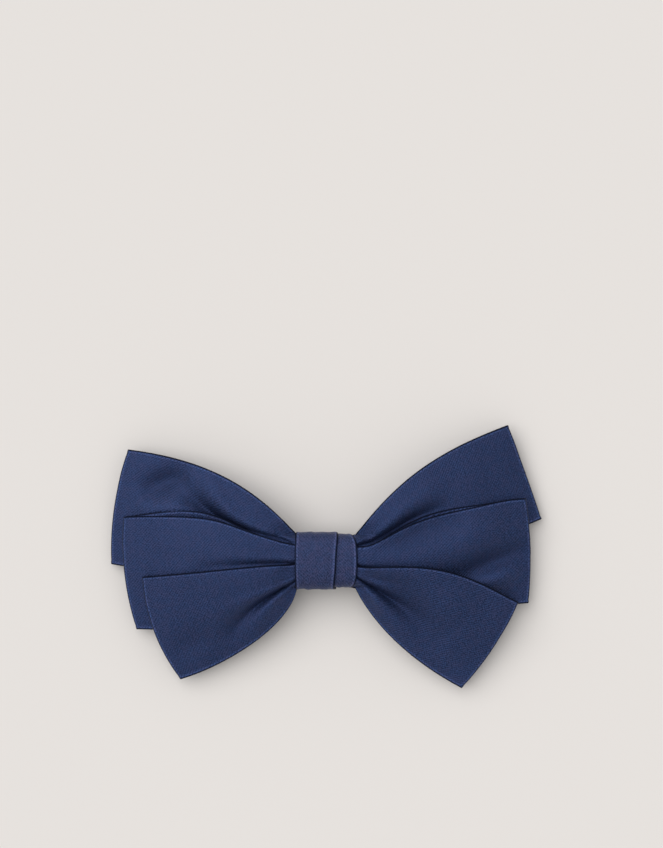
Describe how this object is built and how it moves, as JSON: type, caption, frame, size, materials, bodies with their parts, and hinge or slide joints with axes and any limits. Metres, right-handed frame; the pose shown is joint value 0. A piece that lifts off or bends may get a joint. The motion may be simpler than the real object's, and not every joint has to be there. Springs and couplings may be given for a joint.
{
  "type": "hair bow",
  "caption": "Navy satin hair bow with shingled ribbon loops each side, a wrapped centre band and a steel spring clip on its back.",
  "frame": {"origin": "middle of the latch arm's flat lower face, straight below the knot, where the closed clip rests on a surface", "axes": "+Z out of the bow's decorative face, +X along its width towards the catch end of the clip, +Y towards the bow's upper edge"},
  "size_m": [0.1701, 0.104, 0.0201],
  "materials": {
    "satin": "satin",
    "thread": "matte",
    "plated_steel": "satin",
    "spring_steel": "satin"
  },
  "bodies": {
    "bow": {"upper_loop": "satin", "middle_loop": "satin", "lower_loop": "satin", "gathering_thread": "thread", "centre_band": "satin", "band_stitches": "thread", "clip_plate": "plated_steel", "spring_leaf": "spring_steel", "hinge_pin": "plated_steel", "catch_base": "plated_steel", "catch_rivet": "plated_steel"},
    "arm": {"latch_arm": "plated_steel"},
    "prong_upper": {"catch_prong_upper": "plated_steel"},
    "prong_lower": {"catch_prong_lower": "plated_steel"}
  },
  "joints": [
    {"name": "arm_hinge", "type": "hinge", "parent": "bow", "child": "arm", "pos_m": [-0.0375, 0, 0.003], "axis": [0, 1, 0], "range_deg": [0, 105]},
    {"name": "prong_upper_squeeze", "type": "hinge", "parent": "bow", "child": "prong_upper", "pos_m": [0.037, 0.0021, 0.005], "axis": [-1, 0, 0], "range_deg": [0, 9], "stiffness_Nm_per_rad": 0.06},
    {"name": "prong_lower_squeeze", "type": "hinge", "parent": "bow", "child": "prong_lower", "pos_m": [0.037, -0.0021, 0.005], "axis": [1, 0, 0], "range_deg": [0, 9], "stiffness_Nm_per_rad": 0.06}
  ]
}
